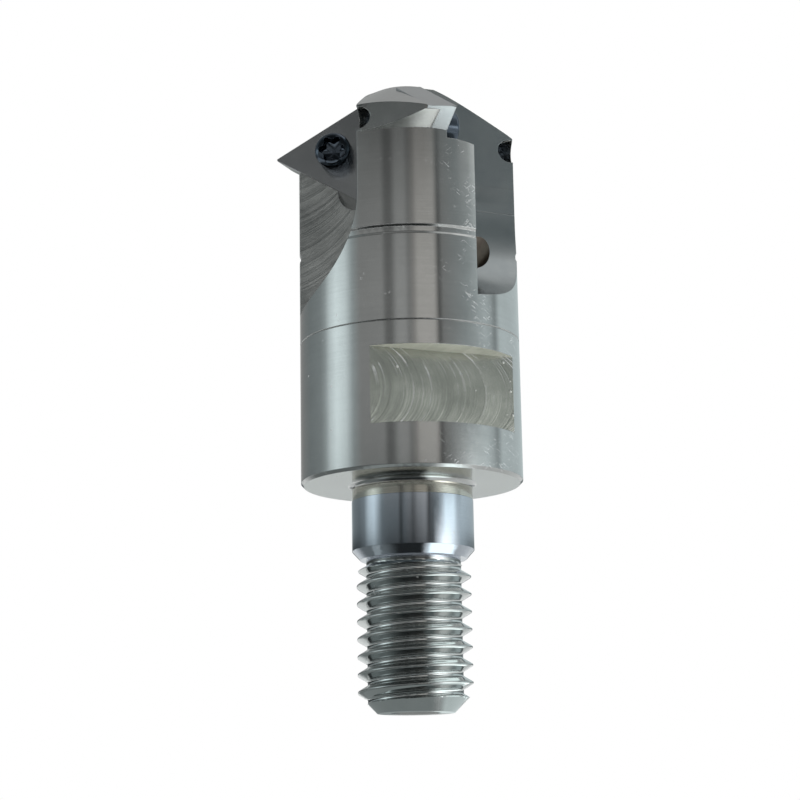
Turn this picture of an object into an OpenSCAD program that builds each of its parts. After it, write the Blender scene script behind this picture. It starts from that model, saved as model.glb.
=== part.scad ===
// Modular thread milling cutter: one turned and milled steel head with a screw-in
// coupling, three triangular indexable inserts and their six-lobe clamping screws.
// Millimetres. The origin is the centre of the seat face that meets the holder,
// and +Z points along the axis towards the cutting end.

/* [Head] */
// Diameter of the turned body
body_d = 19.2; // [18:0.1:22]
// Height of the cutting points above the seat face
tip_z = 30.45; // [29.5:0.05:33]
// Radius of the small flat on top of the head
top_r = 3.1; // [2.5:0.1:3.6]
// Chamfer round the seat face
seat_chamfer = 0.25; // [0.1:0.05:0.5]
// Height of the shallow groove round the head
groove_z = 20.3; // [19:0.1:21.5]
// Width of the shallow groove
groove_w = 0.85; // [0.4:0.05:1.2]
// Depth of the shallow groove
groove_depth = 0.1; // [0.05:0.01:0.2]
// Height of the fine turned line round the body
line_z = 12.45; // [11.6:0.05:13.5]
// Depth of the fine turned line
line_depth = 0.06; // [0.03:0.01:0.1]

/* [Wrench flats] */
// Distance across the two wrench flats
flats_af = 14; // [13:0.1:15.5]
// Height of the lower edge of the flats above the seat face
flats_z = 3.75; // [2.5:0.05:4.5]
// Height of the flats along the axis
flats_h = 6.6; // [5:0.1:7.2]
// Direction that the front wrench flat faces, in degrees
flats_angle = -67.5; // [-90:0.5:-45]

/* [Coupling] */
// Diameter of the ground pilot that centres the head in its holder
pilot_d = 10.5; // [10.3:0.01:11]
// Length of the pilot from the undercut to the start of its lower chamfer
pilot_len = 4.3; // [3.5:0.1:5]
// Length of the undercut between the seat face and the pilot
undercut_len = 1.4; // [1:0.1:2]
// Depth of the undercut below the pilot's surface
undercut_depth = 0.18; // [0.16:0.01:0.3]
// Height of the chamfer below the pilot
pilot_chamfer = 0.75; // [0.4:0.05:1]
// Major diameter of the screw thread
thread_d = 9.8; // [9.7:0.01:10.1]
// Depth of the screw thread
thread_depth = 0.84; // [0.8:0.01:1]
// Pitch of the screw thread
thread_pitch = 1.5; // [1.45:0.05:1.75]
// Length of the thread, with its end chamfer
thread_len = 12.5; // [10:0.1:15]
// Radius of the flat end of the stud
stud_end_r = 3.3; // [3:0.1:3.8]
// Diameter of the coolant bore up the middle
coolant_d = 3.4; // [2.5:0.1:3.8]
// Countersink round the mouth of the coolant bore
coolant_sink = 0.5; // [0.2:0.1:0.8]

/* [Teeth] */
// Number of cutting teeth
teeth = 3; // [3:1:3]
// Direction of the first insert, in degrees
first_angle = 171; // [160:1:180]
// Distance of each gullet wall from the axis
gullet_wall = 2.85; // [2.4:0.05:3]
// Step from the rake face out to the gullet floor
gullet_step = 2.65; // [2.2:0.05:3]
// Height where the gullet wall starts to run out
runout_z = 24.1; // [23.5:0.1:25]
// Radius of the run-out at the gullet's lower end
runout_r = 9.7; // [9:0.1:12]
// Height of the relief flat behind each tooth above the body's surface
relief_rise = 0.03; // [0.02:0.01:0.1]
// Angle that the relief flat leans back from the tooth
relief_angle = 45; // [40:1:50]
// Width of the gap between the pocket's edge and the insert's lower side
pocket_gap = 0.55; // [0.3:0.05:0.8]
// Diameter of the round relief in the inner corner of the pocket
corner_d = 3.4; // [3:0.1:3.8]
// Diameter of the coolant channel that opens in each gullet
outlet_d = 2.7; // [2:0.1:3]
// Height at which the coolant channel leaves the gullet's wall
outlet_z = 20.2; // [19.5:0.1:21]
// Direction of the coolant channel ahead of its tooth, in degrees
outlet_turn = 52; // [50:1:58]
// Angle at which the coolant channel climbs towards the insert
outlet_climb = 54; // [45:1:58]

/* [Inserts] */
// Diameter of the circle inscribed in the insert's triangle
insert_ic = 5.56; // [5.3:0.01:5.8]
// Thickness of the insert
insert_t = 2.38; // [2:0.02:2.6]
// Clearance angle of the insert's sides
insert_relief = 7; // [5:1:11]
// Distance from the axis to the middle of the insert
insert_u = 6.4; // [6.2:0.05:6.7]
// How much the rounded points stand back from sharp ones
insert_nose = 0.12; // [0.08:0.01:0.2]
// Distance by which the steel ridge stays inside the insert's outline
ridge_back = 0.12; // [0.08:0.01:0.2]

/* [Screws] */
// Diameter of the screw head
head_d = 3.45; // [3.2:0.05:3.6]
// Height of the head above the rake face
head_h = 2.1; // [1.6:0.1:2.3]
// Rounding of the head's outer edge
head_round = 0.3; // [0.1:0.05:0.4]
// Distance across the points of the six-lobe recess
recess_d = 2.3; // [2:0.05:2.5]
// Depth of the six-lobe recess
recess_depth = 1.3; // [0.9:0.1:1.5]
// Diameter of the plain shank inside the insert
shank_d = 2.5; // [2.3:0.05:2.6]
// Diameter of the threaded end, taken at its root
tail_d = 2.05; // [1.9:0.01:2.2]
// Length of the threaded end below the insert
tail_len = 3.2; // [2.5:0.1:3.6]
// Clearance all round the shank and the threaded end
screw_clear = 0.03; // [0.02:0.01:0.06]

/* [Hidden] */
$fn = 96;

body_r = body_d / 2;
pilot_r = pilot_d / 2;
thread_r = thread_d / 2;
root_r = thread_r - thread_depth;
// Half of the 60 degree angle of the thread and of the insert's points
flank = 30;
tooth_step = 360 / teeth;

// Levels of the coupling, from the seat face down to the end of the stud
undercut_z = -undercut_len;
pilot_z = undercut_z - pilot_len;
neck_z = pilot_z - pilot_chamfer;
neck_r = pilot_r - pilot_chamfer * 0.9;
neck_end_z = neck_z - 0.5;
stud_end_z = neck_end_z - thread_len;
stud_chamfer = thread_r - stud_end_r;
crest_w = thread_pitch / 8;
flank_h = thread_depth * tan(flank);
groove_root = thread_pitch - crest_w - 2 * flank_h;
first_groove_z = neck_end_z - flank_h - (crest_w + thread_pitch) / 2;
grooves = floor((first_groove_z - stud_end_z - stud_chamfer) / thread_pitch) + 1;
undercut_r = pilot_r - undercut_depth;
undercut_fillet = 0.5;

// The turned ridge follows the insert's outline, a little inside it
point_r = insert_u + insert_ic;
ridge_r = point_r - ridge_back / sin(flank);
ridge_flat = 0.35;
ridge_root_z = tip_z - (ridge_r - body_r) * tan(flank);
top_z = tip_z + (ridge_r - top_r) * tan(flank);

// Where the coolant channels leave the wall, and where they fork off the middle bore
outlet_reach = gullet_wall + 3.15;
fork_z = outlet_z - outlet_reach * tan(outlet_climb);

// Lengths for cutters that run out of the part, and a hair of overlap
above = top_z + 5;
wide = 2 * body_d;
past = 1;
overlap = 0.01;

steel = [0.62, 0.63, 0.64];
carbide = [0.42, 0.43, 0.45];
black_steel = [0.05, 0.05, 0.06];

// Half section of the turned blank, from the stud's end to the top flat
module blank() {
    rotate_extrude($fn = 180)
        polygon([
            [0, stud_end_z],
            [stud_end_r, stud_end_z],
            [thread_r, stud_end_z + stud_chamfer],
            [thread_r, neck_end_z - flank_h],
            [root_r, neck_end_z],
            [root_r, neck_z],
            [neck_r, neck_z],
            [pilot_r, pilot_z],
            [pilot_r, undercut_z],
            [undercut_r, undercut_z],
            [undercut_r, -undercut_fillet],
            for (a = [15 : 15 : 90])
                [undercut_r + undercut_fillet * (1 - cos(a)),
                 undercut_fillet * (sin(a) - 1)],
            [body_r - seat_chamfer, 0],
            [body_r, seat_chamfer],
            [body_r, line_z - line_depth],
            [body_r - line_depth, line_z],
            [body_r, line_z + line_depth],
            [body_r, groove_z - groove_w / 2],
            [body_r - groove_depth, groove_z - groove_w / 4],
            [body_r - groove_depth, groove_z + groove_w / 4],
            [body_r, groove_z + groove_w / 2],
            [body_r, ridge_root_z],
            [ridge_r - ridge_flat, tip_z - ridge_flat * tan(flank)],
            [ridge_r - ridge_flat, tip_z + ridge_flat * tan(flank)],
            [top_r, top_z],
            [0, top_z]
        ]);
}

// Ring grooves that give the stud the turns, pitch and depth of its thread
module thread_grooves() {
    proud = 0.05;
    reach = groove_root / 2 + flank_h + proud * tan(flank);
    for (n = [0 : grooves - 1])
        translate([0, 0, first_groove_z - n * thread_pitch])
            rotate_extrude()
                polygon([
                    [root_r, -groove_root / 2],
                    [thread_r + proud, -reach],
                    [thread_r + proud, reach],
                    [root_r, groove_root / 2]
                ]);
}

// Moves a tooth's own frame into place: x is the radius through the cutting
// point, y is ahead of the rake face, and z is up the axis
module at_tooth(n) {
    rotate([0, 0, first_angle + n * tooth_step])
        children();
}

// Stands a shape drawn in the rake plane's own x and z up along y, ahead of y0
module ahead(y0, len) {
    translate([0, y0 + len, 0])
        rotate([90, 0, 0])
            linear_extrude(height = len)
                children();
}

// Open space in front of the tooth, with its curved run-out
module gullet() {
    ahead(gullet_step, wide) {
        translate([gullet_wall, runout_z])
            square([wide, above]);
        translate([gullet_wall + runout_r, runout_z])
            circle(r = runout_r, $fn = 180);
    }
}

// Space over the rake face, with the pocket's edge kept clear of the cutting side,
// and the round relief over the insert's inner lower point
module pocket_front() {
    low = pocket_gap / cos(flank);
    inner = gullet_wall - 0.2;
    shift = corner_d / 8;
    ahead(0, wide)
        polygon([
            [inner, tip_z - low - (point_r - inner) * tan(flank)],
            [wide, tip_z - low + (wide - point_r) * tan(flank)],
            [wide, above],
            [inner, above]
        ]);
    translate([insert_u - insert_ic * cos(60) + shift, 0,
               tip_z - insert_ic * sin(60) + shift])
        rotate([-90, 0, 0])
            cylinder(d = corner_d, h = wide);
}

// Half space inside one side of the insert: a is 0 for the inner side, 120 for
// the upper one and 240 for the lower one, and each leans in behind the rake face
module side_slab(a) {
    translate([insert_u, 0, tip_z])
        rotate([0, a, 0])
            translate([-insert_ic / 2, 0, 0])
                rotate([0, 0, insert_relief])
                    translate([0, -wide / 2, -wide / 2])
                        cube([wide, wide, wide]);
}

// Seat that holds the insert by its back, its inner side and its lower side
module seat() {
    intersection() {
        translate([0, -insert_t, 0])
            cube([wide, insert_t + overlap, above]);
        side_slab(0);
        side_slab(240);
    }
}

// Tapped hole for the clamping screw, right through the rib
module screw_hole() {
    translate([insert_u, 0, tip_z])
        rotate([90, 0, 0])
            cylinder(d = tail_d + 2 * screw_clear, h = wide);
}

// Flat that backs the tooth off behind its cutting edge
module back_off() {
    rotate([0, 0, -relief_angle])
        translate([body_r + relief_rise, -wide / 2, groove_z + groove_w])
            cube([wide, wide, above]);
}

// Channel that climbs from the middle bore, through the gullet's wall, towards the insert
module outlet() {
    rotate([0, 0, outlet_turn])
        translate([0, 0, fork_z])
            rotate([0, 90 - outlet_climb, 0])
                cylinder(d = outlet_d, h = outlet_reach / cos(outlet_climb) + outlet_d);
}

// Blind bore up the middle, which ends where the three channels fork
module coolant_bore() {
    translate([0, 0, stud_end_z - past])
        cylinder(d = coolant_d, h = fork_z - stud_end_z + 2 * past);
    translate([0, 0, stud_end_z - overlap])
        cylinder(d1 = coolant_d + 2 * coolant_sink, d2 = coolant_d, h = coolant_sink);
}

// Two flats on opposite sides for an open-ended wrench
module wrench_flats() {
    for (side = [0, 180])
        rotate([0, 0, flats_angle + side])
            translate([flats_af / 2, -wide / 2, flats_z])
                cube([wide, wide, flats_h]);
}

// The turned head with its wrench flats, relief flats and gullets
module milled_head() {
    difference() {
        difference() {
            difference() {
                blank();
                thread_grooves();
            }
            wrench_flats();
            for (n = [0 : teeth - 1])
                at_tooth(n) back_off();
        }
        for (n = [0 : teeth - 1])
            at_tooth(n) gullet();
    }
}

// The milled head with its insert pockets, screw holes and coolant channels
module cutter_body() {
    color(steel)
        difference() {
            difference() {
                milled_head();
                for (n = [0 : teeth - 1])
                    at_tooth(n) {
                        pocket_front();
                        seat();
                    }
            }
            for (n = [0 : teeth - 1])
                at_tooth(n) {
                    screw_hole();
                    outlet();
                }
            coolant_bore();
        }
}

// Triangular insert with its points turned round and a plain hole for the shank
module insert(n) {
    color(carbide)
        at_tooth(n)
            difference() {
                intersection() {
                    translate([0, -insert_t, 0])
                        cube([wide, insert_t, above]);
                    side_slab(0);
                    side_slab(120);
                    side_slab(240);
                    translate([insert_u, overlap, tip_z])
                        rotate([90, 0, 0])
                            cylinder(r = insert_ic - insert_nose, h = insert_t + past);
                }
                translate([insert_u, past, tip_z])
                    rotate([90, 0, 0])
                        cylinder(d = shank_d + 2 * screw_clear, h = insert_t + 2 * past);
            }
}

// Six-lobe socket, the union of a hexagon's worth of round lobes and a core
module recess() {
    lobe_r = recess_d / 8;
    cylinder(r = recess_d / 2 - lobe_r, h = recess_depth + past);
    for (a = [0 : 60 : 300])
        rotate([0, 0, a])
            translate([recess_d / 2 - lobe_r, 0, 0])
                cylinder(r = lobe_r, h = recess_depth + past, $fn = 32);
}

// Screw along its own axis: the rake face is at 0 and the head stands above it
module insert_screw(n) {
    tail_end = insert_t + tail_len;
    lead_in = 0.2;
    color(black_steel)
        at_tooth(n)
            translate([insert_u, 0, tip_z])
                rotate([-90, 0, 0])
                    difference() {
                        rotate_extrude()
                            polygon([
                                [0, -tail_end],
                                [tail_d / 2 - lead_in, -tail_end],
                                [tail_d / 2, -tail_end + lead_in],
                                [tail_d / 2, -insert_t],
                                [shank_d / 2, -insert_t],
                                [shank_d / 2, 0],
                                [head_d / 2, 0],
                                [head_d / 2, head_h - head_round],
                                for (a = [15 : 15 : 90])
                                    [head_d / 2 - head_round * (1 - cos(a)),
                                     head_h - head_round * (1 - sin(a))],
                                [0, head_h]
                            ]);
                        translate([0, 0, head_h - recess_depth])
                            recess();
                    }
}

module insert_1() { insert(0); }
module insert_2() { insert(1); }
module insert_3() { insert(2); }
module insert_screw_1() { insert_screw(0); }
module insert_screw_2() { insert_screw(1); }
module insert_screw_3() { insert_screw(2); }

cutter_body();
insert_1();
insert_2();
insert_3();
insert_screw_1();
insert_screw_2();
insert_screw_3();
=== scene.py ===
"""Looks of the thread milling cutter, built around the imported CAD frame. Units are metres."""

import math
from collections import namedtuple

import bmesh
import bpy
from mathutils import Matrix, Vector


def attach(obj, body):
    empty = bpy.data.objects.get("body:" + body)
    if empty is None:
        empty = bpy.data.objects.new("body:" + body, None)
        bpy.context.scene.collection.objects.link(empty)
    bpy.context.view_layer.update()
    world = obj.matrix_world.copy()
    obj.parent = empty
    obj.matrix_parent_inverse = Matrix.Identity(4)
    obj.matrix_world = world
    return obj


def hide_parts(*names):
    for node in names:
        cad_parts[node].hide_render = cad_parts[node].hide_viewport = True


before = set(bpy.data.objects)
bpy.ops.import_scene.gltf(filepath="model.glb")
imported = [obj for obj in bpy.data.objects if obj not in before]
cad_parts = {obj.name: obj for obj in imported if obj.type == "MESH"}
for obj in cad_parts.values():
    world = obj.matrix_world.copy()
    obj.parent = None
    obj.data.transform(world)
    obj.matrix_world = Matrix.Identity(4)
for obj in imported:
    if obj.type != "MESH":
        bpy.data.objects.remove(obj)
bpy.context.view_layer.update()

scene = bpy.context.scene
MM = 0.001

# Sizes of the solids that this script follows, in millimetres and degrees
BODY_R = 9.6
PILOT_R = 5.25
UNDERCUT_R = 5.07
UNDERCUT_Z = -1.4
NECK_END_Z = -6.95
ROOT_R = 4.06
THREAD_R = 4.9
PITCH = 1.5
FLANK = 30
STUD_END_Z = -19.45
STUD_END_R = 3.3
BORE_R = 1.7
BORE_SINK = 0.5
TIP_Z = 30.45
INSERT_U = 6.4
TEETH = range(3)
FIRST_ANGLE = 171
TOOTH_STEP = 120
GULLET_WALL = 2.85
GULLET_STEP = 2.65
POCKET_WALL = 2.65
RUNOUT_Z = 24.1
RUNOUT_R = 9.7
FLAT_ANGLE = -67.5
FLAT_R = 7.0

# Sizes of this script alone, in millimetres
COLLAR_R = 5.2          # the undercut, which is nearly flush in the photograph
CUT_Z = -6.65           # where the threaded stud takes over from the milled head
CREST_Z = -7.22         # a crest of the thread on its left side in the photograph
SWIRL_Z = 6.9           # middle of the end mill's path across the wrench flat
SWIRL_R = 3.9           # radius of that end mill
FLOOR_GAP = 0.04        # floor under the end of the stud
CARD_GAP = 0.02         # card under the end of the stud

# Where faces of the head lie, in millimetres, for the choice of their finish
NEAR = 0.02             # a face is on a plane
SLACK = 0.01            # a point or face is past an edge
FACING = 0.999          # a face looks in a direction
GULLET_END_Z = 14.0     # gullets lie above
GULLET_U = 2.0          # the walls of a gullet lie further out
POCKET_Z = 24.0         # insert pockets lie above
UNDER_SEAT_Z = -0.4     # pilot, collar and stud lie below
FLATS_Z = (3.7, 10.4)   # the wrench flats with their ledges
GROOVE_Z = (19.4, 21.2)
GROOVE_R = 8.6
RIDGE_Z = 25.0          # the ridge's underside lies above
CROWN_Z = 28.0          # teeth and pockets lie above, where only steep or outer faces are turned
CROWN_R = 9.0
CONE_Z = 30.0           # the cone on top lies above
OUTLET_Z = (15.0, 23.9)
CHANNEL_Z = (-7.0, 22.0)
CHANNEL_R = 4.4
RELIEF_Z = (24.6, 27.6)
RELIEF_U = 1.6
RELIEF_DEPTH = 0.12     # the relief is filled from this far over the gullet's floor

# Noise scales of the finishes, in features per metre
CLOUDS = 260.0
PATCHES = 420.0
SCUFFS = 900.0
DOTS = 1500.0
GRAIN = 2600.0

ROUND = 96              # points on a circle
WELD = 1e-7             # points closer than this become one, in metres
ON_PLANE = 1e-8         # points closer than this lie on a cutting plane, in metres


# Small tools


def new_object(name, data):
    piece = bpy.data.objects.new(name, data)
    scene.collection.objects.link(piece)
    return piece


def within(value, limits):
    low, high = limits
    return low < value < high


def on_circle(radius, i, z):
    """Point i of the ROUND points on a horizontal circle."""
    a = 2 * math.pi * i / ROUND
    return Vector((radius * math.cos(a), radius * math.sin(a), z))


def ring_faces(rings):
    """Quads between neighbouring rings of ROUND points each."""
    faces = []
    for k in range(rings - 1):
        low, high = k * ROUND, (k + 1) * ROUND
        for i in range(ROUND):
            nxt = (i + 1) % ROUND
            faces.append((low + i, low + nxt, high + nxt, high + i))
    return faces


def disc(name, radius, z, material):
    """A round horizontal sheet."""
    mesh = bpy.data.meshes.new(name)
    mesh.from_pydata([on_circle(radius, i, z) for i in range(ROUND)], [], [tuple(range(ROUND))])
    mesh.materials.append(material)
    return new_object(name, mesh)


def weld(bm, dist, thin):
    """Joins points closer than dist and takes out faces thinner than thin, in metres."""
    bmesh.ops.remove_doubles(bm, verts=bm.verts, dist=dist)
    bmesh.ops.dissolve_degenerate(bm, dist=thin, edges=bm.edges)


def smooth_by_angle(mesh, degrees):
    mesh.polygons.foreach_set("use_smooth", [True] * len(mesh.polygons))
    mesh.set_sharp_from_angle(angle=math.radians(degrees))


def ride(piece, node):
    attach(piece, "root")
    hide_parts(node)


# Sockets that say where a point lies: the whole vector and its three parts, in metres
Place = namedtuple("Place", "coords x y z")


class Net:
    """The nodes of a material or world, written as calls that give back sockets."""

    def __init__(self, owner):
        self.owner = owner
        owner.use_nodes = True
        self.tree = owner.node_tree
        self.tree.nodes.clear()

    def add(self, kind, inputs=None, **props):
        node = self.tree.nodes.new(kind)
        for key, value in props.items():
            setattr(node, key, value)
        for key, value in (inputs or {}).items():
            if isinstance(value, bpy.types.NodeSocket):
                self.tree.links.new(value, node.inputs[key])
            else:
                node.inputs[key].default_value = value
        return node

    def coords(self):
        return self.add("ShaderNodeTexCoord").outputs["Object"]

    def place(self):
        coords = self.coords()
        return Place(coords, *self.add("ShaderNodeSeparateXYZ", {0: coords}).outputs)

    def math(self, operation, a, b=0.0, c=0.0):
        return self.add("ShaderNodeMath", {0: a, 1: b, 2: c}, operation=operation).outputs[0]

    def times(self, a, b):
        return self.math("MULTIPLY", a, b)

    def larger(self, a, b):
        return self.math("MAXIMUM", a, b)

    def mixed(self, first, share, second, other_share):
        return self.math("MULTIPLY_ADD", first, share, self.times(second, other_share))

    def from_axis(self, at):
        """Distance from the cutter's axis."""
        return self.math("SQRT", self.math("ADD", self.math("POWER", at.x, 2.0),
                                           self.math("POWER", at.y, 2.0)))

    def along(self, at, degrees):
        """Distance from the axis in one horizontal direction."""
        a = math.radians(degrees)
        return self.mixed(at.x, math.cos(a), at.y, math.sin(a))

    def bulge(self, radius, off):
        """How far a circle of this radius reaches at a distance off its middle."""
        rest = self.math("SUBTRACT", radius ** 2, self.math("POWER", off, 2.0))
        return self.math("SQRT", self.larger(rest, 0.0))

    def turn(self, at):
        """Direction round the axis in radians, 0 in front and positive to the right."""
        return self.math("ARCTAN2", at.x, self.times(at.y, -1.0))

    def noise(self, scale, detail, rough, vector):
        inputs = {"Scale": scale, "Detail": detail, "Roughness": rough, "Distortion": 0.0,
                  "Vector": vector}
        return self.add("ShaderNodeTexNoise", inputs, noise_dimensions="3D").outputs["Fac"]

    def stripes(self, scale, detail, rough, value):
        """Noise that changes with one value only."""
        inputs = {"Scale": scale, "Detail": detail, "Roughness": rough, "Distortion": 0.0,
                  "W": value}
        return self.add("ShaderNodeTexNoise", inputs, noise_dimensions="1D").outputs["Fac"]

    def spread(self, value, low, high, to_low=0.0, to_high=1.0):
        """A soft step from to_low to to_high between low and high."""
        return self.add("ShaderNodeMapRange", {
            "Value": value, "From Min": low, "From Max": high,
            "To Min": to_low, "To Max": to_high}, interpolation_type="SMOOTHSTEP").outputs["Result"]

    def window(self, value, start, end):
        """1 between two soft steps, 0 outside."""
        return self.times(self.spread(value, *start), self.spread(value, *end, 1.0, 0.0))

    def tint(self, factor, first, second):
        """A mix of two colours. Inputs 6 and 7 and output 2 are the node's colour sockets."""
        inputs = {0: factor}
        for socket, colour in ((6, first), (7, second)):
            inputs[socket] = colour if isinstance(colour, bpy.types.NodeSocket) else (*colour, 1)
        return self.add("ShaderNodeMix", inputs, data_type="RGBA").outputs[2]

    def blend(self, factor, first, second):
        """A mix of two shader nodes."""
        inputs = {0: factor, 1: first.outputs[0], 2: second.outputs[0]}
        return self.add("ShaderNodeMixShader", inputs).outputs[0]

    def seen(self):
        """1 for rays from the camera, a glossy surface or glass, 0 for diffuse light."""
        path = self.add("ShaderNodeLightPath").outputs
        mirrored = self.larger(path["Is Glossy Ray"], path["Is Transmission Ray"])
        return self.larger(path["Is Camera Ray"], mirrored)

    def soft_bump(self, height, marks_height, edge):
        """Surface direction with rounded edges and tool marks, both sizes in millimetres."""
        soft = self.add("ShaderNodeBevel", {"Radius": edge * MM}, samples=4)
        return self.add("ShaderNodeBump", {
            "Height": height, "Strength": 1.0, "Distance": marks_height * MM,
            "Normal": soft.outputs[0]}).outputs[0]

    def finish(self, shader, output="ShaderNodeOutputMaterial"):
        self.tree.links.new(shader, self.add(output).inputs["Surface"])
        return self.owner


# Tool marks, each a height from 0 to 1


def tooth_angle(n):
    return FIRST_ANGLE + TOOTH_STEP * n


def plain_marks(net, at):
    return net.noise(SCUFFS, 3.0, 0.6, at.coords)


def turned_marks(net, at):
    """Fine rings left by the turning tool, along the profile."""
    along = net.math("ADD", at.z, net.from_axis(at))
    return net.mixed(net.stripes(9000.0, 2.0, 0.6, along), 0.7,
                     net.stripes(1800.0, 2.0, 0.6, along), 0.3)


def ridge_painted_highlight_and_marks(net, at):
    """A ground face with faint tool marks, under a painted highlight that grows towards its right
    end.
    """
    return net.mixed(net.spread(at.x, -1 * MM, 3 * MM), 1.2, plain_marks(net, at), 0.1)


def gullet_marks(n):
    """Arcs of an end mill that moved along the floor of gullet n, in the axis's direction."""

    def marks(net, at):
        off = net.math("SUBTRACT", (GULLET_WALL + RUNOUT_R) * MM, net.along(at, tooth_angle(n)))
        centre = net.math("ADD", at.z, net.bulge(RUNOUT_R * MM, off))
        return net.mixed(net.stripes(1500.0, 3.0, 0.65, centre), 0.8,
                         net.noise(700.0, 3.0, 0.6, at.coords), 0.2)

    return marks


def flat_arcs(net, at):
    """Where the end mill was on its way across the wrench flat, and the height over its middle."""
    up = net.math("SUBTRACT", at.z, SWIRL_Z * MM)
    across = net.along(at, FLAT_ANGLE + 90)
    return net.math("SUBTRACT", across, net.bulge(SWIRL_R * MM, up)), up


def flat_marks(net, at):
    """Half circles left by a small end mill that crossed the wrench flat."""
    centre, _ = flat_arcs(net, at)
    return net.mixed(net.stripes(1300.0, 3.0, 0.7, centre), 0.85, plain_marks(net, at), 0.15)


# Bright wear, and painted highlight on tool marks, each from 0 to 1


def specks(net, at, share):
    """Small dots in patches."""
    dots = net.add("ShaderNodeTexVoronoi", {"Vector": at.coords, "Scale": DOTS}, feature="F1")
    patch = net.spread(net.noise(PATCHES, 2.0, 0.5, at.coords), 0.5, 0.66)
    near = net.spread(dots.outputs["Distance"], 0.0, 0.28, 1.0, 0.0)
    few = net.math("GREATER_THAN", dots.outputs["Color"], 1.0 - share)
    return net.times(net.times(near, few), patch)


def scratches(net, at):
    """Crossed light scratches on the right of the front."""
    lines = []
    for slope in (0.75, -0.9):
        across = net.math("MULTIPLY_ADD", at.x, slope, at.z)
        along = net.math("MULTIPLY_ADD", at.z, -slope, at.x)
        grid = net.add("ShaderNodeCombineXYZ", {
            0: net.times(across, 5200.0), 1: net.times(along, 900.0), 2: slope})
        lines.append(net.spread(net.noise(1.0, 2.0, 0.6, grid.outputs[0]), 0.60, 0.70))
    patch = net.spread(net.noise(330.0, 3.0, 0.6, at.coords), 0.50, 0.60)
    side = net.times(net.spread(at.x, 1.2 * MM, 4.5 * MM), net.spread(at.y, -2 * MM, -5 * MM))
    return net.times(net.times(net.larger(*lines), patch), side)


def swirl_marks_and_painted_highlight(net, at):
    """The half circles of the wrench flat with a painted highlight, strongest along its upper and
    lower edges.
    """
    centre, up = flat_arcs(net, at)
    arcs = net.spread(net.stripes(1900.0, 3.0, 0.7, centre), 0.55, 0.63)
    patch = net.spread(net.noise(PATCHES, 3.0, 0.6, at.coords), 0.44, 0.58)
    upper = net.spread(up, 0.6 * MM, 2.2 * MM)
    lower = net.spread(up, -2.4 * MM, -3.1 * MM)
    strength = net.math("MULTIPLY_ADD", net.larger(upper, lower), 0.75, 0.2)
    return net.times(net.times(arcs, patch), strength)


# Materials


def metal(name, colour, dark, rough, marks, marks_height, edge=0.06, grain=0.05, speck=0.0,
          aniso=0.0, metallic=1.0, wear_and_painted_highlight=None):
    """Steel or carbide between two colours, mixed by its clouds and tool marks.

    marks(net, at) gives the tool marks, marks_height says how high they stand in millimetres,
    and edge how far edges are rounded. grain is the spread of the roughness. speck is the share
    of bright dots, and wear(net, at) brightens more of the surface where there are dots: real
    scratches, and a painted highlight on the wrench flat's arcs.
    """
    net = Net(bpy.data.materials.new(name))
    at = net.place()
    height = marks(net, at)
    cloud = net.noise(CLOUDS, 4.0, 0.6, at.coords)
    fine = net.noise(GRAIN, 3.0, 0.6, at.coords)
    tone = net.spread(net.mixed(height, 0.35, cloud, 0.65), 0.3, 0.7)
    colour_out = net.tint(tone, dark, colour)
    rough_out = net.math("MULTIPLY_ADD", net.math("SUBTRACT", fine, 0.5), grain,
                         net.math("MULTIPLY_ADD", cloud, grain, rough - grain / 2))
    if speck:
        bright = specks(net, at, speck)
        height = net.math("MULTIPLY_ADD", bright, 1.5, height)
        rough_out = net.math("MULTIPLY_ADD", bright, 0.25, rough_out)
        # This mask lightens the colour: real scratches on turned steel, painted highlight on the
        # flat's arcs.
        if wear_and_painted_highlight:
            bright = net.larger(bright, wear_and_painted_highlight(net, at))
        colour_out = net.tint(bright, colour_out, (0.8, 0.8, 0.8))
        metallic = net.math("MULTIPLY_ADD", bright, -0.7, metallic)
    height = net.math("MULTIPLY_ADD", fine, 0.15, height)
    inputs = {"Base Color": colour_out, "Metallic": metallic, "Roughness": rough_out,
              "Normal": net.soft_bump(height, marks_height, edge), "Anisotropic": aniso}
    if aniso:
        around = net.add("ShaderNodeCombineXYZ", {0: net.times(at.y, -1.0), 1: at.x, 2: 0.0})
        unit = net.add("ShaderNodeVectorMath", {0: around.outputs[0]}, operation="NORMALIZE")
        inputs["Tangent"] = unit.outputs[0]
        inputs["Anisotropic Rotation"] = 0.25
    return net.finish(net.add("ShaderNodeBsdfPrincipled", inputs).outputs[0])


def black_oxide():
    net = Net(bpy.data.materials.new("black_oxide"))
    coords = net.coords()
    cloud = net.noise(SCUFFS, 3.0, 0.6, coords)
    fine = net.noise(5200.0, 2.0, 0.5, coords)
    shader = net.add("ShaderNodeBsdfPrincipled", {
        "Base Color": net.tint(cloud, (0.06, 0.075, 0.095), (0.10, 0.12, 0.145)),
        "Metallic": 1.0, "Roughness": net.spread(cloud, 0.3, 0.7, 0.14, 0.24),
        "Normal": net.soft_bump(fine, marks_height=0.0003, edge=0.05)})
    return net.finish(shader.outputs[0])


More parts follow.
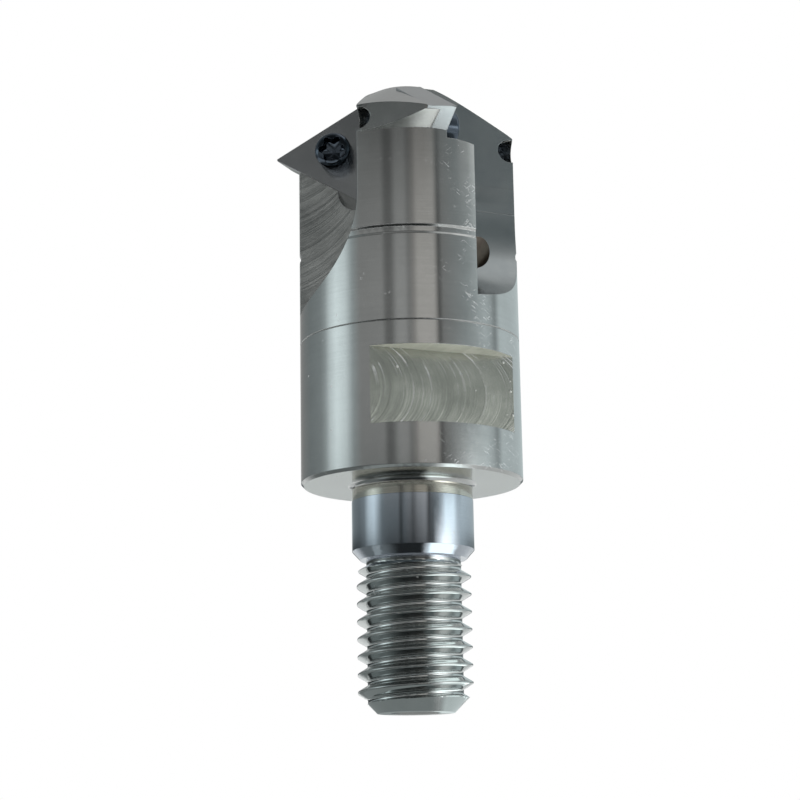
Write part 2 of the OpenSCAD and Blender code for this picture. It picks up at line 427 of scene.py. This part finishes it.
# The finishes of the head, by the names that sort_face gives
steels = {
    "turned": metal("turned_steel", (0.46, 0.465, 0.46), (0.40, 0.405, 0.40), 0.13, turned_marks,
                    marks_height=0.0004, speck=0.35, aniso=0.6, wear_and_painted_highlight=scratches),
    "ground": metal("ground_steel", (0.46, 0.495, 0.545), (0.42, 0.455, 0.505), 0.085, turned_marks,
                    marks_height=0.0002, speck=0.25, aniso=0.3),
    "collar": metal("collar_steel", (0.54, 0.525, 0.47), (0.43, 0.42, 0.37), 0.13, turned_marks,
                    marks_height=0.0012, speck=0.3, aniso=0.4),
    "milled": metal("milled_steel", (0.43, 0.435, 0.43), (0.36, 0.37, 0.365), 0.26, plain_marks,
                    marks_height=0.002),
    # The swirls paint a highlight over the flat's milling arcs.
    "flat": metal("flat_steel", (0.50, 0.51, 0.46), (0.33, 0.34, 0.305), 0.24, flat_marks,
                  marks_height=0.02, speck=0.3, wear_and_painted_highlight=swirl_marks_and_painted_highlight),
    # The ledges' near-white, hardly metallic colour is a painted highlight.
    "ledge": metal("ledge_painted_highlight", (1.0, 1.0, 0.88), (0.68, 0.68, 0.57), 0.34, flat_marks,
                   marks_height=0.03, metallic=0.1),
    "seat": metal("seat_steel", (0.29, 0.32, 0.305), (0.265, 0.29, 0.28), 0.14, turned_marks,
                  marks_height=0.0006, speck=0.2, aniso=0.4),
    "wall": metal("wall_steel", (0.33, 0.35, 0.355), (0.28, 0.30, 0.31), 0.22, plain_marks,
                  marks_height=0.001),
    # The ridge's near-white at its right end is a painted highlight, and its dark left end painted
    # shade.
    "ridge": metal("ridge_steel_painted_highlight", (0.95, 0.96, 0.93), (0.24, 0.25, 0.24), 0.36, ridge_painted_highlight_and_marks,
                   marks_height=0.001, metallic=0.4),
    # The near-black brown inside the bores and outlets is painted shade of the hollows.
    "bore": metal("bore_painted_shade", (0.19, 0.165, 0.14), (0.06, 0.05, 0.045), 0.36, plain_marks,
                  marks_height=0.004),
}
for n in TEETH:
    steels[f"gullet_{n + 1}"] = metal(f"gullet_steel_{n + 1}", (0.68, 0.695, 0.68),
                                      (0.38, 0.395, 0.39), 0.30, gullet_marks(n), marks_height=0.045)
thread_steel = metal("thread_steel", (0.55, 0.565, 0.56), (0.49, 0.51, 0.505), 0.09, plain_marks,
                     marks_height=0.0006, edge=0.03, grain=0.04, speck=0.3)
carbide = metal("carbide", (0.50, 0.51, 0.52), (0.43, 0.44, 0.45), 0.24, plain_marks,
                marks_height=0.0008, edge=0.05)
black = black_oxide()


# The head


def tooth_axes(n):
    """Outwards through tooth n, and ahead of its rake face."""
    a = math.radians(tooth_angle(n))
    return Vector((math.cos(a), math.sin(a), 0)), Vector((-math.sin(a), math.cos(a), 0))


def sort_gullet(centre, normal):
    """The finish and smooth rule of a face of a gullet, or None."""
    for n in TEETH:
        out, ahead = tooth_axes(n)
        u, v = centre.dot(out), centre.dot(ahead)
        if normal.dot(ahead) > FACING and abs(v - GULLET_STEP) < NEAR:
            return f"gullet_{n + 1}", None
        if (u > GULLET_U and v > GULLET_STEP - SLACK and abs(normal.dot(ahead)) < 0.02
                and centre.z > GULLET_END_Z):
            if abs(u - GULLET_WALL) < NEAR and normal.dot(out) > 0.99:
                return "wall", None
            arc = math.hypot(u - GULLET_WALL - RUNOUT_R, centre.z - RUNOUT_Z)
            if abs(arc - RUNOUT_R) < 0.08 and centre.z < RUNOUT_Z + SLACK:
                return "wall", ("runout", n)
    return None


def sort_turned(centre, normal, r):
    """The finish of a face that was turned on a lathe, or None."""
    if abs(centre.z) < NEAR and normal.z < -0.99:
        return "seat"
    if centre.z < UNDER_SEAT_Z:
        return "ground" if centre.z < UNDERCUT_Z else "collar"
    if centre.z > RIDGE_Z and normal.z < -0.3:
        return "ridge"
    if centre.z < CROWN_Z or abs(normal.z) > 0.4 or r > CROWN_R:
        return "turned"
    return None


def sort_face(centre, normal):
    """The finish of a face of the head, from where it lies and how it faces, and its smooth rule.

    A turned or run-out face is smoothed by its exact form, any other face by its neighbours.
    """
    found = sort_gullet(centre, normal)
    if found:
        return found
    a = math.radians(FLAT_ANGLE)
    across = Vector((math.cos(a), math.sin(a), 0))
    if abs(normal.dot(across)) > FACING and abs(abs(centre.dot(across)) - FLAT_R) < NEAR:
        return "flat", None
    r = math.hypot(centre.x, centre.y)
    if within(centre.z, FLATS_Z) and abs(normal.z) > 0.99 and r < BODY_R - 0.05:
        return "ledge", None
    out = Vector((centre.x, centre.y, 0)) / max(r, 1e-9)
    sideways = abs(normal.x * out.y - normal.y * out.x)
    # Long thin faces of the groove and of the cone on top look further past the axis
    in_groove = within(centre.z, GROOVE_Z) and r > GROOVE_R
    on_cone = centre.z > CONE_Z and 0.85 < normal.z < 0.93
    if sideways < (0.3 if in_groove else 0.16 if on_cone else 0.06):
        if normal.dot(out) < -0.3:
            return "bore", None
        finish = sort_turned(centre, normal, r)
        if finish:
            return finish, ("turned", None)
    if within(centre.z, OUTLET_Z) and r < BODY_R - 0.1:
        return "bore", None
    if r < CHANNEL_R and within(centre.z, CHANNEL_Z) and abs(normal.z) < 0.8 and sideways > 0.06:
        return "bore", None
    return "milled", None


def move_to_wall(vert, n):
    """Into the plane of the gullet's wall, without leaving the turned body."""
    out, ahead = tooth_axes(n)
    place = vert.co / MM
    v = place.dot(ahead)
    reach = math.hypot(place.dot(out), v)
    if reach > BODY_R - 0.3:
        v = math.sqrt(min(reach, BODY_R) ** 2 - GULLET_WALL ** 2)
    vert.co = (out * GULLET_WALL + ahead * v + Vector((0, 0, place.z))) * MM


def fill_relief(bm, n):
    """The pocket's corner relief stays in the pocket and doesn't run out along the gullet's wall."""
    out, ahead = tooth_axes(n)
    cut = GULLET_STEP + RELIEF_DEPTH

    def in_relief(place):
        return (RELIEF_U < place.dot(out) < GULLET_WALL + SLACK and within(place.z, RELIEF_Z)
                and place.dot(ahead) > GULLET_STEP - SLACK)

    faces = []
    for face in bm.faces:
        centre = face.calc_center_median() / MM
        if (in_relief(centre) and centre.dot(out) < GULLET_WALL - 0.005
                and abs(face.normal.dot(ahead)) < 0.05):
            faces.append(face)
    verts = list({v for face in faces for v in face.verts})
    edges = list({e for face in faces for e in face.edges})
    bmesh.ops.bisect_plane(bm, geom=faces + verts + edges, dist=ON_PLANE,
                           plane_co=ahead * cut * MM, plane_no=ahead)
    for vert in bm.verts:
        place = vert.co / MM
        trench = place.dot(ahead) > cut - SLACK and place.dot(out) < GULLET_WALL - 0.001
        if in_relief(place) and trench:
            move_to_wall(vert, n)


def fill_undercut(vert):
    """Brings the undercut out to COLLAR_R, and its neighbours within half a millimetre in step."""
    place = vert.co / MM
    r = math.hypot(place.x, place.y)
    ease = 0.5
    if not (within(place.z, (UNDERCUT_Z - SLACK, -SLACK)) and r < PILOT_R + ease):
        return
    shallow = COLLAR_R + (r - UNDERCUT_R) * (PILOT_R - COLLAR_R) / (PILOT_R - UNDERCUT_R)
    if place.z > UNDERCUT_Z + SLACK:
        shallow = COLLAR_R + (r - UNDERCUT_R) * (ease + UNDERCUT_R - COLLAR_R) / ease
    vert.co = Vector((place.x / r * shallow, place.y / r * shallow, place.z)) * MM


def join_points(mesh):
    """The import keeps points apart along sharp edges. Here each place gets one point."""
    bm = bmesh.new()
    bm.from_mesh(mesh)
    bmesh.ops.remove_doubles(bm, verts=bm.verts, dist=2 * WELD)
    bm.to_mesh(mesh)
    bm.free()


def shape_head(mesh):
    """Cuts the stud off, fills the undercut and clears the walls of the gullets."""
    bm = bmesh.new()
    bm.from_mesh(mesh)
    cut = bmesh.ops.bisect_plane(
        bm, geom=bm.verts[:] + bm.edges[:] + bm.faces[:], dist=ON_PLANE,
        plane_co=(0, 0, CUT_Z * MM), plane_no=(0, 0, 1), clear_inner=True)
    rim = [e for e in cut["geom_cut"] if isinstance(e, bmesh.types.BMEdge)]
    bmesh.ops.bridge_loops(bm, edges=rim)
    for vert in bm.verts:
        place = vert.co / MM
        for n in TEETH:
            out, ahead = tooth_axes(n)
            on_pocket = abs(place.dot(out) - POCKET_WALL) < SLACK and place.dot(ahead) > -SLACK
            if on_pocket and place.z > POCKET_Z:
                move_to_wall(vert, n)
        fill_undercut(vert)
    for n in TEETH:
        fill_relief(bm, n)
    weld(bm, dist=20 * WELD, thin=10 * WELD)
    bmesh.ops.recalc_face_normals(bm, faces=bm.faces)
    bm.to_mesh(mesh)
    bm.free()


def exact_normal(rule, place, up):
    """The true surface direction at a corner of a turned face or of a gullet's run-out, or None.

    up is the upward part of the face's own direction. Close to the axis there is no answer.
    """
    kind, n = rule
    if kind == "turned":
        r = math.hypot(place.x, place.y)
        if r <= 0.5:
            return None
        lean = math.sqrt(max(1 - up ** 2, 0))
        return Vector((place.x / r * lean, place.y / r * lean, up))
    out, _ = tooth_axes(n)
    off = GULLET_WALL + RUNOUT_R - place.dot(out)
    return (out * off + Vector((0, 0, RUNOUT_Z - place.z))).normalized()


def build_head():
    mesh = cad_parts["cutter_body"].data.copy()
    mesh.name = "milled_head"
    piece = new_object("milled_head", mesh)
    mesh.materials.clear()
    if "custom_normal" in mesh.attributes:
        mesh.attributes.remove(mesh.attributes["custom_normal"])
    join_points(mesh)
    shape_head(mesh)
    names = list(steels)
    for name in names:
        mesh.materials.append(steels[name])
    rules = []
    for face in mesh.polygons:
        name, rule = sort_face(face.center / MM, face.normal)
        face.material_index = names.index(name)
        rules.append(rule)
    smooth_by_angle(mesh, degrees=28)
    mesh.update()
    normals = [Vector(corner.vector) for corner in mesh.corner_normals]
    for face, rule in zip(mesh.polygons, rules):
        if rule is None:
            continue
        for corner in face.loop_indices:
            place = mesh.vertices[mesh.loops[corner].vertex_index].co / MM
            exact = exact_normal(rule, place, face.normal.z)
            if exact is not None:
                normals[corner] = exact
    mesh.normals_split_custom_set(normals)
    ride(piece, "cutter_body")


# The threaded stud


def thread_profile():
    """Distance below the crest's middle and depth below the crest, over one pitch."""
    flat, depth = 0.085, THREAD_R - ROOT_R
    half = [(0.0, 0.0), (0.05, 0.002), (flat, 0.022)]
    start = flat + 0.012
    run = depth * math.tan(math.radians(FLANK))
    steps = 8
    for k in range(1, steps):
        share = k / steps
        half.append((start + run * share, 0.02 + (depth - 0.02) * share))
    foot = start + run
    half += [(foot - 0.02, depth - 0.03), (foot + 0.03, depth - 0.004), (PITCH / 2, depth)]
    back = [(PITCH - below, deep) for below, deep in reversed(half[1:-1])]
    return half + back


def stud_point(theta, z, depth):
    """A point of the thread, held within the stud's two ends, its chamfer and its run-out."""
    z = min(max(z, STUD_END_Z), CUT_Z)
    if z == STUD_END_Z:
        r = STUD_END_R
    elif z == CUT_Z:
        r = ROOT_R
    else:
        r = THREAD_R - depth
    r = min(r, STUD_END_R + (z - STUD_END_Z))
    r = min(r, max(ROOT_R, ROOT_R + (NECK_END_Z - z) / math.tan(math.radians(FLANK))))
    return Vector((r * math.cos(theta), r * math.sin(theta), z)) * MM


def thread_sheet():
    """Points and faces of the helix, in columns that each run down the whole stud."""
    profile = thread_profile()
    columns, turns = 144, range(-1, 11)
    rows = len(profile) * len(turns)
    verts, faces = [], []
    for i in range(columns):
        theta = 2 * math.pi * i / columns
        crest = CREST_Z + PITCH * (theta - math.pi) / (2 * math.pi)
        for k in turns:
            verts += [stud_point(theta, crest - PITCH * k - below, deep) for below, deep in profile]
    for i in range(columns):
        nxt = (i + 1) % columns
        # The last column meets the first one a full turn of the thread further up
        lag = len(profile) if nxt == 0 else 0
        for j in range(lag, rows - 1):
            here, there = i * rows + j, nxt * rows + j - lag
            faces.append((here, here + 1, there + 1, there))
    return verts, faces


def build_stud():
    mesh = bpy.data.meshes.new("threaded_stud")
    verts, faces = thread_sheet()
    mesh.from_pydata(verts, [], faces)
    bm = bmesh.new()
    bm.from_mesh(mesh)
    weld(bm, dist=WELD, thin=WELD)
    bmesh.ops.delete(bm, geom=[v for v in bm.verts if not v.link_faces], context="VERTS")

    def open_rim(z):
        return [e for e in bm.edges
                if e.is_boundary and all(abs(v.co.z - z * MM) < 10 * WELD for v in e.verts)]

    def circle(r, z):
        made = [bm.verts.new(on_circle(r, i, z) * MM) for i in range(ROUND)]
        return [bm.edges.new((made[i], made[(i + 1) % ROUND])) for i in range(ROUND)]

    low, high = open_rim(STUD_END_Z), open_rim(CUT_Z)
    mouth = circle(BORE_R + BORE_SINK, STUD_END_Z)
    throat = circle(BORE_R, STUD_END_Z + BORE_SINK)
    top = circle(BORE_R, CUT_Z)
    for first, second in ((low, mouth), (mouth, throat), (throat, top), (top, high)):
        bmesh.ops.bridge_loops(bm, edges=first + second)
    bmesh.ops.recalc_face_normals(bm, faces=bm.faces)
    bm.to_mesh(mesh)
    bm.free()
    smooth_by_angle(mesh, degrees=34)
    piece = new_object("threaded_stud", mesh)
    mesh.materials.append(thread_steel)
    ride(piece, "cutter_body")


# The clamping screws

# A screw along its own axis: radius, height over the rake face and depth of its six lobes
SCREW_TAIL = [
    (0.0, -5.58, 0), (0.825, -5.58, 0), (1.025, -5.38, 0), (1.025, -2.38, 0), (1.25, -2.38, 0),
    (1.25, 0.0, 0)]
SCREW_HEAD = [
    (1.63, 0.0, 0), (1.63, 1.62, 0), (1.60, 1.75, 0), (1.52, 1.87, 0), (1.40, 1.97, 0),
    (1.27, 2.04, 0), (1.06, 2.07, 0.17), (1.02, 2.02, 0.17), (0.99, 0.95, 0.16),
    (0.70, 0.86, 0.06), (0.0, 0.80, 0)]


def build_screw(n):
    out, ahead = tooth_axes(n)
    name = f"clamp_screw_{n + 1}"
    middle = out * INSERT_U + Vector((0, 0, TIP_Z))
    rings = SCREW_TAIL + SCREW_HEAD
    verts = []
    for r, height, lobes in rings:
        for i in range(ROUND):
            a = 2 * math.pi * i / ROUND
            reach = r + lobes * math.cos(6 * a)
            verts.append((middle + out * (reach * math.cos(a)) + ahead * height
                          + Vector((0, 0, reach * math.sin(a)))) * MM)
    mesh = bpy.data.meshes.new(name)
    mesh.from_pydata(verts, [], ring_faces(len(rings)))
    bm = bmesh.new()
    bm.from_mesh(mesh)
    weld(bm, dist=WELD, thin=WELD)
    bmesh.ops.recalc_face_normals(bm, faces=bm.faces)
    bm.to_mesh(mesh)
    bm.free()
    mesh.materials.append(black)
    smooth_by_angle(mesh, degrees=40)
    ride(new_object(name, mesh), f"insert_screw_{n + 1}")


build_head()
build_stud()
for n in TEETH:
    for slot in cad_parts[f"insert_{n + 1}"].material_slots:
        slot.material = carbide
    build_screw(n)


# The light tent

# Each stop is a direction in degrees (0 in front, 90 right, 180 behind), a level and a tint
PLAIN, COOL, WARM = (0.98, 1.0, 0.99), (0.88, 1.0, 1.02), (1.02, 1.0, 0.96)
FOOT_WALL = [
    (-180, 0.22, COOL), (-150, 0.07, COOL), (-125, 0.05, COOL), (-100, 0.13, COOL),
    (-80, 0.19, COOL), (-60, 0.13, COOL), (-45, 0.035, COOL), (-30, 0.02, COOL), (0, 0.025, COOL),
    (14, 0.045, PLAIN), (28, 0.06, PLAIN), (38, 0.15, PLAIN), (48, 2.0, PLAIN), (57, 3.2, PLAIN),
    (72, 2.5, PLAIN), (84, 1.3, PLAIN), (100, 0.5, COOL), (125, 0.22, COOL), (150, 0.22, COOL),
    (180, 0.22, COOL)]
LOW_WALL = [
    (-180, 0.60, COOL), (-150, 0.30, COOL), (-120, 0.26, COOL), (-104, 0.36, COOL),
    (-92, 1.0, COOL), (-78, 1.25, COOL), (-68, 0.60, COOL), (-60, 0.26, COOL), (-28, 0.22, COOL),
    (-22, 0.05, COOL), (-17, 0.22, COOL), (-6, 0.20, PLAIN), (0, 0.12, PLAIN), (8, 0.26, PLAIN),
    (22, 0.44, PLAIN), (29, 0.12, PLAIN), (40, 0.16, COOL), (48, 0.26, COOL), (56, 0.80, COOL),
    (64, 1.9, COOL), (82, 1.95, COOL), (92, 1.0, COOL), (125, 0.78, COOL), (150, 0.62, COOL),
    (180, 0.50, COOL)]
HIGH_WALL = [
    (-180, 0.50, PLAIN), (-155, 0.30, PLAIN), (-128, 0.32, COOL), (-106, 0.42, COOL),
    (-98, 0.60, COOL), (-91, 1.15, COOL), (-82, 1.55, COOL), (-70, 1.28, COOL), (-61, 0.60, COOL),
    (-52, 0.42, PLAIN), (-28, 0.46, PLAIN), (-23, 0.25, PLAIN), (-18, 0.26, PLAIN),
    (-12, 0.54, PLAIN), (-4, 0.54, PLAIN), (0, 0.36, PLAIN), (5, 0.44, WARM), (9, 0.72, WARM),
    (26, 0.72, WARM), (31, 0.12, PLAIN), (35, 0.36, PLAIN), (60, 0.43, COOL), (70, 0.55, COOL),
    (84, 0.80, COOL), (92, 0.70, COOL), (99, 0.40, COOL), (107, 0.95, COOL), (140, 0.80, COOL),
    (180, 0.60, COOL)]
FLAG = [
    (-180, 0.42, PLAIN), (-120, 0.28, COOL), (-85, 0.32, COOL), (-55, 0.11, COOL),
    (-35, 0.045, COOL), (18, 0.045, PLAIN), (36, 0.24, COOL), (53, 0.28, COOL), (60, 0.56, PLAIN),
    (67, 0.60, PLAIN), (74, 1.2, PLAIN), (90, 1.2, PLAIN), (110, 0.50, COOL), (180, 0.42, PLAIN)]
CEILING = [
    (-180, 0.40, PLAIN), (-120, 0.30, PLAIN), (-60, 0.30, PLAIN), (30, 0.26, PLAIN),
    (60, 1.0, PLAIN), (110, 1.0, PLAIN), (180, 0.40, PLAIN)]
# The bands over the foot of the wall, and the heights over the horizon, in degrees, where each
# takes over from the one below
BANDS = [((7.2, 8.0), LOW_WALL), ((9.0, 9.7), HIGH_WALL), ((18.0, 26.0), FLAG),
         ((57.0, 63.0), CEILING)]


def tent_material():
    """Soft walls all round, brighter and darker by direction: strip lights and flags."""
    net = Net(bpy.data.materials.new("tent_light"))
    at = net.place()
    turn = net.math("MULTIPLY_ADD", net.turn(at), 1 / (2 * math.pi), 0.5)
    rise = net.times(net.math("ARCTAN2", at.z, net.from_axis(at)), 180 / math.pi)

    def ramp(stops):
        node = net.add("ShaderNodeValToRGB", {"Fac": turn})
        while len(node.color_ramp.elements) < len(stops):
            node.color_ramp.elements.new(0.5)
        for element, (degrees, level, tint) in zip(node.color_ramp.elements, stops):
            element.position = degrees / 360 + 0.5
            element.color = (*(level * share for share in tint), 1)
        return node.outputs["Color"]

    light = ramp(FOOT_WALL)
    for heights, stops in BANDS:
        light = net.tint(net.spread(rise, *heights), light, ramp(stops))
    glow = net.add("ShaderNodeEmission", {"Color": light, "Strength": 1.0})
    return net.finish(glow.outputs[0])


def build_tent():
    """A dome round the cutter, which the camera doesn't see."""
    radius, rings, lowest = 0.5, 25, -12
    verts = []
    for j in range(rings):
        rise = math.radians(lowest + (90 - lowest) * j / (rings - 1))
        verts += [on_circle(radius * math.cos(rise), i, radius * math.sin(rise))
                  for i in range(ROUND)]
    mesh = bpy.data.meshes.new("light_tent")
    mesh.from_pydata(verts, [], ring_faces(rings))
    mesh.materials.append(tent_material())
    tent = new_object("light_tent", mesh)
    tent.visible_camera = False
    tent.visible_shadow = False


# Floor, card, world and lamp


def floor_material():
    """Pale floor that a camera below it sees through, as the photograph looks up at the cutter."""
    net = Net(bpy.data.materials.new("pale_floor"))
    cloud = net.noise(6.0, 3.0, 0.5, net.coords())
    paint = net.add("ShaderNodeBsdfDiffuse", {
        "Color": net.tint(cloud, (0.84, 0.845, 0.84), (0.87, 0.87, 0.865))})
    glow = net.add("ShaderNodeEmission", {
        "Color": (1, 1, 1, 1), "Strength": net.times(net.seen(), 0.30)})
    pale = net.add("ShaderNodeAddShader", {0: paint.outputs[0], 1: glow.outputs[0]})
    clear = net.add("ShaderNodeBsdfTransparent")
    below = net.add("ShaderNodeNewGeometry").outputs["Backfacing"]
    return net.finish(net.blend(below, pale, clear))


def build_floor():
    floor = disc("floor", 4.0, (STUD_END_Z - FLOOR_GAP) * MM, floor_material())


# Soft edges of the card's areas, as directions in degrees and distances from the axis in millimetres
CARD_R = 110.0
FRONT_START, FRONT_END = (-150.0, -120.0), (18.0, 44.0)
RIGHT_START, RIGHT_END = (24.0, 48.0), (110.0, 135.0)
FRONT_REACH, RIGHT_REACH = (85.0, CARD_R), (15.0, 19.0)
DARK_TURN = (-80.0, -35.0)
RING_START, RING_END = (12.0, 13.2), (15.5, 18.0)
STUD_EDGE = (5.5, 7.0)


def card_material():
    """Dark in front with a paler ring, white close by on the right, and clear behind."""
    net = Net(bpy.data.materials.new("dark_card"))
    at = net.place()
    turn = net.times(net.turn(at), 180 / math.pi)
    reach = net.times(net.from_axis(at), 1 / MM)
    front = net.window(turn, FRONT_START, FRONT_END)
    right = net.window(turn, RIGHT_START, RIGHT_END)
    there = net.larger(net.times(right, net.spread(reach, *RIGHT_REACH, 1.0, 0.0)),
                       net.times(front, net.spread(reach, *FRONT_REACH, 1.0, 0.0)))
    dark = net.larger(net.spread(turn, *DARK_TURN, 0.24, 0.03),
                      net.spread(reach, *STUD_EDGE, 0.3, 0.0))
    ring = net.times(net.window(reach, RING_START, RING_END), 0.5)
    white = net.times(right, net.spread(reach, *STUD_EDGE, 0.8, 2.4))
    shade = net.add("ShaderNodeEmission", {
        "Color": (0.9, 1.0, 1.0, 1), "Strength": net.larger(net.larger(dark, ring), white)})
    clear = net.add("ShaderNodeBsdfTransparent")
    return net.finish(net.blend(there, clear, shade))


def build_card():
    """Card lying under the stud, which only glossy rays see."""
    card = disc("dark_card", CARD_R * MM, (STUD_END_Z - CARD_GAP) * MM, card_material())
    card.visible_camera = card.visible_diffuse = card.visible_shadow = False


def build_world():
    """White where it is seen, and a softer light on diffuse surfaces."""
    scene.world = bpy.data.worlds.new("studio")
    net = Net(scene.world)
    soft = net.add("ShaderNodeBackground", {"Color": (0.6, 0.6, 0.6, 1)})
    white = net.add("ShaderNodeBackground", {"Color": (1, 1, 1, 1)})
    net.finish(net.blend(net.seen(), soft, white), "ShaderNodeOutputWorld")


def build_lamp():
    """Key lamp from the upper left, kept out of reflections."""
    light = bpy.data.lights.new("key_lamp", "AREA")
    light.shape = "DISK"
    light.size = 0.22
    light.energy = 0.55
    lamp = new_object("key_lamp", light)
    lamp.location = (-0.16, -0.12, 0.34)
    aim = Vector((0, 0, 0.01)) - lamp.location
    lamp.rotation_euler = aim.to_track_quat("-Z", "Y").to_euler()
    lamp.visible_glossy = False


build_tent()
build_floor()
build_card()
build_world()
build_lamp()


# The camera


def build_camera():
    """The photograph's camera, fitted to it: in front of the cutter, low and looking up."""
    place = Vector((-0.93, -168.66, -28.95)) * MM
    rise, roll = math.radians(12.233), math.radians(-0.967)
    forward = Vector((0, math.cos(rise), math.sin(rise)))
    right, up = Vector((1, 0, 0)), Vector((0, -math.sin(rise), math.cos(rise)))
    across = right * math.cos(roll) + up * math.sin(roll)
    upward = up * math.cos(roll) - right * math.sin(roll)
    turn = Matrix((across, upward, -forward)).transposed()
    data = bpy.data.cameras.new("photo_camera")
    data.sensor_width = 36.0
    data.lens = 88.97
    data.clip_start = 0.005
    data.clip_end = 20.0
    camera = new_object("photo_camera", data)
    camera.matrix_world = Matrix.Translation(place) @ turn.to_4x4()
    scene.camera = camera


build_camera()
scene.view_settings.view_transform = "Standard"
